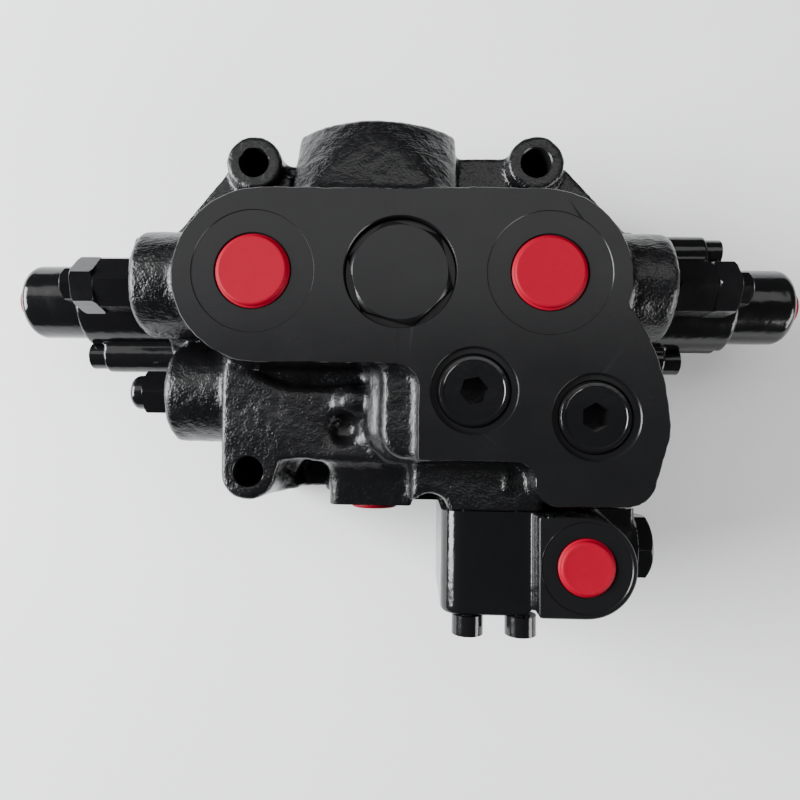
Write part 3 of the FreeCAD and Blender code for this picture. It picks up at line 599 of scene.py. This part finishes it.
def machine_body(item):
    """Faces, ports, chambers, bores and threads, in the order a machine shop cuts them."""
    paint(item, "casting_paint", "machined_paint", "gloss_paint")
    face_off(item, (0, 0, FACE), (0, 0, 1))
    face_off(item, (0, 0, 0), (0, 0, -1))
    face_off(item, (0, BODY_JOINT_Y, 0), (0, -1, 0))
    cutters = []
    for side, along in ((-1, "-X"), (1, "+X")):
        port, relief = (side * PORT_X, 0, FACE), (side * RELIEF_X, 0, RELIEF_Z)
        cutters += [
            bore(LARGE_SPOT, 0.3, port, chamfer=0.25),
            bore(LARGE_PORT, 22.3, port, chamfer=0.9),
            bore(LARGE_WAY, 62, port, chamfer=0),
            bore(10, 45, relief, along, chamfer=0.4),
            bore(14.5, 0.5, relief, along, chamfer=0.2),
            bore(16, 9.5, (side * COVER_X, 0, SPOOL_Z), along, chamfer=0.4),
        ]
        for way in (-1, 1):
            cutters.append(bore(M8_TAPPED, 20, (side * COVER_X, SCREW_Y * way, SPOOL_Z), along))
    through = [(-120, 0), (-120, SPOOL_BORE), (120, SPOOL_BORE), (120, 0)]
    centre, makeup = (0, 0, FACE), (MAKEUP_X, MAKEUP_Y, SIDE_Z)
    cutters += [
        tool(through, (0, 0, SPOOL_Z), "+X", 160),
        bore(CHECK_SPOT, 12.5, centre, chamfer=0.35),
        bore(16.55, FACE - 64, centre, chamfer=0),
        bore(8, FACE - SPOOL_Z, centre, chamfer=0),
    ]
    for spot in (FIRST, SECOND):
        place = (spot.x, spot.y, FACE)
        cutters += [
            bore(PLUG_SPOT, 1.8, place, chamfer=0.4),
            bore(14.7, 5, place, chamfer=0),
            bore(10.45, FACE - 60, place, chamfer=0),
            bore(5, FACE - 46, place, chamfer=0),
        ]
    inlet, back_port = tuple(INLET), (RETURN_X, BODY_JOINT_Y, SIDE_Z)
    cutters += [
        bore(10, 26, makeup, "-X"),
        bore(5, 42, makeup, "-X", chamfer=0),
        bore(LARGE_SPOT, 0.4, inlet, "+Y"),
        threaded(15.55, 1.6, 24.4, inlet, "+Y"),
        bore(LARGE_WAY, 56, inlet, "+Y", chamfer=0),
        bore(17, 0.4, back_port, "-Y", chamfer=0.2),
        bore(SMALL_PORT, 22, back_port, "-Y", chamfer=0.6),
        bore(SMALL_WAY, 40, back_port, "-Y", chamfer=0),
    ]
    for x, z in BLOCK_SCREWS:
        cutters.append(bore(M8_TAPPED, 18, (x, BODY_JOINT_Y, z), "-Y"))
    for x in OIL_WAYS:
        cutters.append(bore(3.5, 40, (x, BODY_JOINT_Y, SIDE_Z), "-Y"))
    for x, y in LUGS.values():
        cutters.append(bore(LUG_HOLE, 90, (x, y, LUG_Z), chamfer=0.5))
    return machined(item, cutters)


# ---- the side block ----


def block_casting():
    """The side block before machining: a slab, the boss of its port, and the shuttle's housing."""
    sand = Casting((BLOCK_LEFT - 4, BLOCK_BACK - 4, 14), (108, JOINT_Y + 4, BLOCK_FACE + 6), 0.6)
    left, bottom, radius = BLOCK_LEFT, 22, 19.6
    slab = [(left, bottom), (54, bottom), (54, BLOCK_TOP), (left + 9, BLOCK_TOP), (left, BLOCK_TOP - 9, 9)]
    sand.add(prism("y", slab, BLOCK_REAR, JOINT_Y + 3, 2.2), 1)
    x, y = BLOCK_PORT.x, BLOCK_PORT.y
    boss = [
        (55.4, y + radius), (55.4, y - radius), (x, y - radius), (x + radius, y, radius),
        (x, y + radius, radius),
    ]  # fmt: skip
    sand.add(prism("z", boss, bottom, BLOCK_FACE + 4, 1), 3.2)
    sand.add(rod("x", (SHUTTLE_Y, SIDE_Z), 17.5, 60, 108, 1), 4)
    sand.add(bar((70, SHUTTLE_Y, SIDE_Z - 17), (103, JOINT_Y + 3, SIDE_Z + 17), 3), 4)
    sand.soften(2)
    item = sand.mesh("side_block_casting")
    roughen(item, [(9, 0.03), (4, 0.022), (1.6, 0.016)], 31)
    return item


def machine_block(item):
    """The block's port, joint and end faces, its port, its cross drilling and its screw holes."""
    paint(item, "gloss_paint", "machined_paint", "gloss_paint")
    face_off(item, (0, 0, BLOCK_FACE), (0, 0, 1), chamfer=0.5, merge=0.05)
    face_off(item, (0, JOINT_Y, 0), (0, 1, 0), chamfer=0.6, merge=0.05)
    face_off(item, (BLOCK_END, 0, 0), (1, 0, 0), chamfer=0.4, merge=0.05)
    port, end = (BLOCK_PORT.x, BLOCK_PORT.y, BLOCK_FACE), (BLOCK_END, SHUTTLE_Y, SIDE_Z)
    cutters = [
        bore(17.4, 0.3, port, chamfer=0.45),
        bore(SMALL_PORT, 19, port, chamfer=0.8),
        bore(SMALL_WAY, 46, port, chamfer=0),
        bore(11.05, 15, end, "+X"),
        bore(8.03, 74, end, "+X", chamfer=0),
        bore(5.05, 12, (DRAIN_X, BLOCK_REAR, DRAIN_Z), "-Y", chamfer=0.2),
    ]
    seal_groove = [(-1.5, 4.6), (-1.5, 7), (4, 7), (4, 4.6)]
    for x in OIL_WAYS:
        cutters.append(bore(4, 19, (x, JOINT_Y, SIDE_Z), "+Y", chamfer=0))
        cutters.append(tool(seal_groove, (x, JOINT_Y, SIDE_Z), "+Y"))
    for x, z in BLOCK_SCREWS:
        cutters.append(bore(M8_CLEAR, 60, (x, BLOCK_REAR, z), "-Y", chamfer=0.2))
        cutters.append(bore(7.3, 0.2, (x, BLOCK_REAR, z), "-Y", chamfer=0.1))
    return machined(item, cutters)


# ---- covers, screws, plugs and valves ----


def cover_piece():
    """An end cover about its own axis, +Z away from the body, with its long screw boss towards +Y."""
    sand = Casting((-25, -38, -5), (25, 38, PILOT_END + 5), 0.55)
    sand.add(rod("z", (0, 0), 22.5, -3, 42.3, 1.6), 1)
    sand.add(rod("z", (0, 0), 18, -3, PILOT_END, 4.8), 1.5)
    for way, length in EARS:
        sand.add(rod("z", (0, SCREW_Y * way), 8, -3, length, 0.8), 2.5)
        near, far = sorted((19 * way, SCREW_Y * way))
        sand.add(bar((-7, near, -3), (7, far, length), 1), 2)
    sand.soften(1)
    item = sand.mesh("cover_casting")
    roughen(item, [(8, 0.04), (3, 0.03), (1.4, 0.015)], 47)
    paint(item, "gloss_paint", "machined_paint", "gloss_paint")
    face_off(item, (0, 0, 0), (0, 0, -1), chamfer=0.2)
    chamber = [
        (-6, 0), (-6, 17), (38, 17), (38, 5), (57.3, 5), (57.3, 9.2), (PILOT_END - 0.6, 9.2),
        (PILOT_END, 9.8), (80, 9.8), (80, 0),
    ]  # fmt: skip
    seal_groove = [(-4, 18.4), (-4, 20.8), (2, 20.8), (2, 18.4)]
    cutters = [tool(chamber), tool(seal_groove)]
    for way, length in EARS:
        hole = [(-6, 0), (-6, M8_CLEAR), (length, M8_CLEAR), (length, 7), (90, 7), (90, 0)]
        cutters.append(tool(hole, (0, SCREW_Y * way, 0)))
    return machined(item, cutters, "gloss_paint")


def milled(blank, across, start, end, twist=0.0):
    """Six flats on a turned blank between two stations."""
    waste = lathe("waste", [(start, 0), (start, across), (end, across), (end, 0)], 48)
    combine(waste, [hexagonal(across, start - 1, end + 1, twist=twist)])
    return combine(blank, [waste])


def socketed(blank, across, floor, top, twist=0.0):
    """A hexagon socket, with the small cone that its drill leaves."""
    hollow = hexagonal(across, floor, top + 5, twist=twist)
    drill, mouth = across * 0.47, across * 0.56
    cone = [(floor - 0.25 * across, 0), (floor, drill), (top - 0.3, drill)]
    flare = [(top + 0.5, mouth), (top + 5, mouth), (top + 5, 0)]
    return combine(blank, [combine(hollow, [tool(cone + flare)], "UNION")])


def finished(item, name, coating, width, angle=35):
    """Edges, shading, paint and the piece's final name."""
    bevelled(item, width)
    paint(item, coating)
    weighted(shaded(item, angle))
    item.name = item.data.name = name
    return item


def cap_screw_piece(name, length):
    """An M8 socket head cap screw, its seat at the origin and its head towards +Z."""
    shank, head, tall = 4, 6.5, 8
    thread = [(-length, 0), (-length, 3.2), (0.8 - length, shank), (0, shank)]
    section = [*thread, (0, head), (tall, head), (tall, 0)]
    return finished(socketed(lathe(name, section), 6, 4, tall, 0.3), name, "gloss_paint", 0.45)


def red_plug_piece(name, bore_radius, proud, depth, step=0.0):
    """A soft plug with a flat, slightly dished top, a rounded rim and a moulding mark in its middle."""
    top = bore_radius - 0.85
    crown = [(proud - 1.3, top), (proud, top - 1.3, 1.3)]
    if step:
        dish = proud - step
        crown += [(proud, top - 2.0), (dish, top - 2.5), (dish, 0.6), (dish + 0.2, 0.2)]
    else:
        crown += [(proud - 0.12, top * 0.5), (proud - 0.12, 0.6), (proud - 0.02, 0.2)]
    end, inner, snug = crown[-1][0], bore_radius - 2, bore_radius - 0.05
    skirt = [(-depth, inner), (-depth, bore_radius - 0.6), (1.5 - depth, snug), (-0.4, snug), (0.1, top)]
    item = lathe(name, skirt + crown + [(end, 0), (-1.5, 0), (-1.5, inner)], 128)
    return finished(item, name, "red_plastic", 0.12, 50)


# ---- surfaces ----

MATERIALS = {}


def surface(name, colour, roughness, bumps, spread, metallic=0.0, coat=0.0, tint=0.0, size=9.0, shine=0.5):
    """A procedural finish. Bumps are (grain, height); spread and tint vary gloss and tone in patches."""
    made = bpy.data.materials.new(name)
    made.use_nodes = True
    nodes, links = made.node_tree.nodes, made.node_tree.links
    shader = nodes["Principled BSDF"]
    shader.inputs["Base Color"].default_value = (*colour, 1)
    shader.inputs["Roughness"].default_value = roughness
    shader.inputs["Metallic"].default_value = metallic
    shader.inputs["Specular IOR Level"].default_value = shine
    shader.inputs["Coat Weight"].default_value = coat
    shader.inputs["Coat Roughness"].default_value = 0.12
    place = nodes.new("ShaderNodeTexCoord").outputs["Object"]

    def noise(grain, detail):
        texture = nodes.new("ShaderNodeTexNoise")
        texture.inputs["Scale"].default_value = 1 / (grain * MM)
        texture.inputs["Detail"].default_value = detail
        links.new(place, texture.inputs["Vector"])
        return texture.outputs["Fac"]

    gloss = nodes.new("ShaderNodeMapRange")
    gloss.inputs["From Min"].default_value, gloss.inputs["From Max"].default_value = 0.3, 0.7
    gloss.inputs["To Min"].default_value = roughness - spread
    gloss.inputs["To Max"].default_value = roughness + spread
    links.new(noise(size, 3), gloss.inputs["Value"])
    links.new(gloss.outputs["Result"], shader.inputs["Roughness"])
    if tint:
        tone = nodes.new("ShaderNodeMix")
        tone.data_type = "RGBA"
        tone.inputs["A"].default_value = (*(channel * (1 - tint) for channel in colour), 1)
        tone.inputs["B"].default_value = (*(min(channel * (1 + tint), 1) for channel in colour), 1)
        links.new(noise(size * 0.6, 4), tone.inputs["Factor"])
        links.new(tone.outputs["Result"], shader.inputs["Base Color"])
    normal = None
    for grain, height in bumps:
        bump = nodes.new("ShaderNodeBump")
        bump.inputs["Distance"].default_value = height * MM
        links.new(noise(grain, 2), bump.inputs["Height"])
        if normal:
            links.new(normal, bump.inputs["Normal"])
        normal = bump.outputs["Normal"]
    if normal:
        links.new(normal, shader.inputs["Normal"])
    MATERIALS[name] = made
    return made


GLOSS_BLACK, SATIN_BLACK = (0.005, 0.005, 0.0055), (0.007, 0.007, 0.0075)
COARSE, CLEAN, SMOOTH = [(1.0, 0.3), (0.45, 0.1)], [(2.4, 0.02), (0.6, 0.006)], [(3.0, 0.07), (1.2, 0.03)]
MOULDED = [(5.0, 0.02), (0.9, 0.004)]
RED = (0.28, 0.0004, 0.014)

surface("casting_paint", GLOSS_BLACK, 0.16, COARSE, 0.05, coat=0.06, shine=0.34)
surface("machined_paint", SATIN_BLACK, 0.25, CLEAN, 0.03, tint=0.12, size=14, shine=0.24)
surface("gloss_paint", GLOSS_BLACK, 0.15, SMOOTH, 0.05, coat=0.08, shine=0.34)
surface("steel", (0.45, 0.45, 0.46), 0.28, [(0.6, 0.002)], 0.08, metallic=1.0, tint=0.1)
surface("spring_steel", (0.2, 0.21, 0.23), 0.35, [(0.8, 0.004)], 0.08, metallic=1.0, tint=0.15)
surface("seal_rubber", (0.012, 0.012, 0.012), 0.6, [(0.7, 0.006)], 0.08)
surface("red_plastic", RED, 0.5, MOULDED, 0.05, tint=0.05, size=6, shine=0.12)


# ---- the assembly ----

BODY_OF = {node: body for body, nodes in frame["record"]["behaviour"]["bodies"].items() for node in nodes}


def install(item, node):
    """The piece stands for a CAD node and moves with its body."""
    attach(item, BODY_OF[node])
    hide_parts(node)
    return item


def copied(item, name, at, turn):
    """Another piece like this one, put in place."""
    twin = link(name, item.data.copy())
    twin.data.name = name
    return moved(twin, at, turn)


body = valve_casting()
machine_body(body)
body.name = body.data.name = "valve_body_painted"
install(body, "valve_body")

block = block_casting()
machine_block(block)
block.name = block.data.name = "side_block_painted"
install(block, "side_block")

cover = cover_piece()
long_screw = cap_screw_piece("long_cap_screw", LONG_EAR + 18)
short_screw = cap_screw_piece("short_cap_screw", SHORT_EAR + 18)
block_screw = cap_screw_piece("block_cap_screw", 58.6)

cartridge = lathe(
    "cartridge",
    [
        (-45, 3), (-45, 6.5), (-40, 6.5), (-38.5, 9.95), (4, 9.95), (4, 11), (4.8, 12.12), (19.2, 12.12),
        (20, 11), (20, 4.05), (12, 4.05), (12, 6), (-36, 6), (-38, 3),
    ],
)  # fmt: skip
finished(milled(cartridge, 21, 4, 20), "relief_cartridge", "gloss_paint", 0.55)
lock_nuts = {}
for side, twist in (("left", 15), ("right", 58)):
    section = [(20.1, 4.05), (20.1, 11.5), (20.9, 12.4), (29.2, 12.4), (30, 11.4), (30, 4.05)]
    nut = milled(lathe("lock_nut", section), 21.5, 20.1, 30, math.radians(twist))
    lock_nuts[side] = finished(nut, "relief_lock_nut", "gloss_paint", 0.5)
adjuster = lathe(
    "adjuster", [(8, 0), (8, 4), (30.2, 4), (30.2, 7.2), (30.7, 7.8), (36, 7.8), (37, 6.6), (37, 0)]
)
socketed(milled(adjuster, 13.5, 30.2, 37), 5, 33.5, 37)
finished(adjuster, "relief_adjuster", "gloss_paint", 0.3)
pilot_plug = red_plug_piece("pilot_plug", 9.2, 5.4, 10)

for side, sign, turn in (("left", -1, "-X"), ("right", 1, "+X")):
    at = (sign * COVER_X, 0, SPOOL_Z)
    install(copied(cover, f"end_cover_{side}_painted", at, turn), f"end_cover_{side}")
    for (way, seat), screw, kind in zip(EARS, (long_screw, short_screw), ("long", "short"), strict=True):
        at = (sign * (COVER_X + seat), sign * way * SCREW_Y, SPOOL_Z)
        placed = copied(screw, f"cover_screw_{kind}_{side}", at, turn)
        install(placed, f"cover_screws_{kind}")
    at = (sign * RELIEF_X, 0, RELIEF_Z)
    valve = {"relief_cartridge": cartridge, "relief_lock_nut": lock_nuts[side], "relief_adjuster": adjuster}
    for node, part in valve.items():
        install(copied(part, f"{node}_{side}_painted", at, turn), f"{node}_{side}")
    at = (sign * (COVER_X + PILOT_END), 0, SPOOL_Z)
    install(copied(pilot_plug, f"pilot_plug_{side}_red", at, turn), f"pilot_plug_{side}")

for number, (x, z) in enumerate(BLOCK_SCREWS):
    screw = copied(block_screw, f"side_block_screw_{number}", (x, BLOCK_BACK, z), "-Y")
    install(screw, "side_block_screws")

patterns = (cover, long_screw, short_screw, block_screw, cartridge, *lock_nuts.values(), adjuster, pilot_plug)
for pattern in patterns:
    bpy.data.objects.remove(pattern)

head = lathe(
    "load_check_head",
    [
        (-24, 6.06), (-24, 15.6), (-22.5, 16.5), (-15, 16.5), (-15, 15), (-12.4, 15), (-12.4, 21.9),
        (-2.6, 21.9), (-0.5, 18.9), (-0.45, 0), (-9, 0), (-9, 6.06),
    ],
    128,
)  # fmt: skip
milled(head, 38, -3.2, -0.4, math.radians(-16))
finished(head, "load_check_plug_painted", "machined_paint", 0.3, 25)
install(moved(head, (0, 0, FACE)), "load_check_plug")

for name, spot, twist in (("first", FIRST, 0.2), ("second", SECOND, 0.5)):
    plug = lathe(
        "plug",
        [
            (-22, 4), (-22, 9.4), (-21, 10.4), (-7.5, 10.4), (-7.5, 9.2), (-4.9, 9.2), (-4.9, 14.3),
            (-1.8, 14.3), (-0.9, 13.4), (-0.8, 12.2), (-1.1, 11.9), (-1.1, 0), (-11, 0), (-11, 4),
        ],
        128,
    )  # fmt: skip
    socketed(plug, 10, -7.5, -0.8, twist)
    finished(plug, f"{name}_check_plug_painted", "gloss_paint", 0.25)
    install(moved(plug, (spot.x, spot.y, FACE)), f"{name}_check_plug")

makeup = lathe(
    "makeup",
    [
        (-14, 4.4), (-14, 9.95), (0, 9.95), (0, 8.5), (4, 8.5), (4, 10.4), (4.8, 11.26), (13.7, 11.26),
        (14.5, 10.4), (14.5, 4.05), (8, 4.05), (8, 0), (-4, 0), (-4, 4.4),
    ],
)  # fmt: skip
finished(milled(makeup, 19.5, 4, 14.5), "makeup_check_body_painted", "gloss_paint", 0.35)
install(moved(makeup, (MAKEUP_X, MAKEUP_Y, SIDE_Z), "-X"), "makeup_check_body")
cap = lathe("makeup_cap", [(8.5, 0), (8.5, 4), (14.6, 4), (14.6, 8), (18.5, 8), (22, 4.5, 3.5), (22, 0)])
finished(cap, "makeup_check_cap_painted", "gloss_paint", 0.4)
install(moved(cap, (MAKEUP_X, MAKEUP_Y, SIDE_Z), "-X"), "makeup_check_cap")

side_plug = lathe(
    "side_plug", [(-14, 0), (-14, 10), (-13, 11), (0.05, 11), (0.05, 15.4), (6.4, 15.5), (8, 13.2), (8, 0)]
)
finished(milled(side_plug, 27, 0.05, 8), "side_block_plug_painted", "gloss_paint", 0.4)
install(moved(side_plug, (BLOCK_END, SHUTTLE_Y, SIDE_Z), "+X"), "side_block_plug")
drain = lathe("drain", [(-10, 0), (-10, 5), (0, 5), (0, 7), (2.5, 7), (3, 6.5), (3, 0)])
finished(socketed(drain, 5, -0.5, 3), "drain_plug_painted", "gloss_paint", 0.4)
install(moved(drain, (DRAIN_X, BLOCK_BACK, DRAIN_Z), "-Y"), "drain_plug")

for node, size, proud, at, turn, step in (
    ("port_plug_a", LARGE_PORT, 1.6, (-PORT_X, 0, FACE - 0.3), "+Z", 0),
    ("port_plug_b", LARGE_PORT, 1.6, (PORT_X, 0, FACE - 0.3), "+Z", 0),
    ("side_block_port_plug", SMALL_PORT, 1.6, (BLOCK_PORT.x, BLOCK_PORT.y, BLOCK_FACE - 0.3), "+Z", 0.15),
    ("return_port_plug", SMALL_PORT, 3, (RETURN_X, BODY_JOINT_Y, SIDE_Z), "-Y", 0),
):
    install(moved(red_plug_piece(f"{node}_red", size, proud, 12, step), at, turn), node)

# Finish of an inner piece, by the first of these words that its node's name holds
INNER = {"seal": "seal_rubber", "spring_seat": "steel", "spring": "spring_steel"}
for node, item in frame["nodes"].items():
    if not item.hide_render:
        finish = next((INNER[word] for word in INNER if word in node), "steel")
        paint(item, finish)


# ---- camera, light and table ----


def soft_light(name, place, target, width, height, power, colour=(1, 1, 1)):
    lamp = bpy.data.lights.new(name, "AREA")
    lamp.shape, lamp.size, lamp.size_y = "RECTANGLE", width, height
    lamp.energy, lamp.color = power, colour
    item = bpy.data.objects.new(name, lamp)
    item.location = place
    item.rotation_euler = (Vector(target) - Vector(place)).to_track_quat("-Z", "Y").to_euler()
    bpy.context.scene.collection.objects.link(item)


def studio():
    lens = bpy.data.cameras.new("camera")
    lens.lens, lens.sensor_width = 27.37, 36
    lens.clip_start = 0.02
    camera = bpy.data.objects.new("camera", lens)
    camera.location = (0.00674, -0.06322, 0.3403)
    camera.rotation_euler = (0.053, 0.0254, 0.0132)
    bpy.context.scene.collection.objects.link(camera)
    bpy.context.scene.camera = camera

    table = bpy.data.meshes.new("table")
    table.from_pydata([(-3, -3, 0), (3, -3, 0), (3, 3, 0), (-3, 3, 0)], [], [(0, 1, 2, 3)])
    top = surface("table_top", (0.93, 0.93, 0.935), 0.6, [(0.8, 0.01)], 0.03, tint=0.01, shine=0.2)
    table.materials.append(top)
    link("table", table)

    world = bpy.data.worlds.new("room")
    world.use_nodes = True
    world.node_tree.nodes["Background"].inputs["Color"].default_value = (0.95, 0.97, 1.0, 1)
    world.node_tree.nodes["Background"].inputs["Strength"].default_value = 0.08
    bpy.context.scene.world = world
    soft_light("window", (-1.5, 0.1, 0.85), (0, 0, 0.05), 1.3, 0.8, 112, (0.97, 0.985, 1.0))
    soft_light("ceiling", (-0.3, 0.8, 1.7), (-0.3, 0.8, 0), 3.4, 1.05, 23)
    soft_light("fill", (1.3, -0.7, 0.55), (0, 0, 0.05), 1.0, 0.6, 22)


studio()
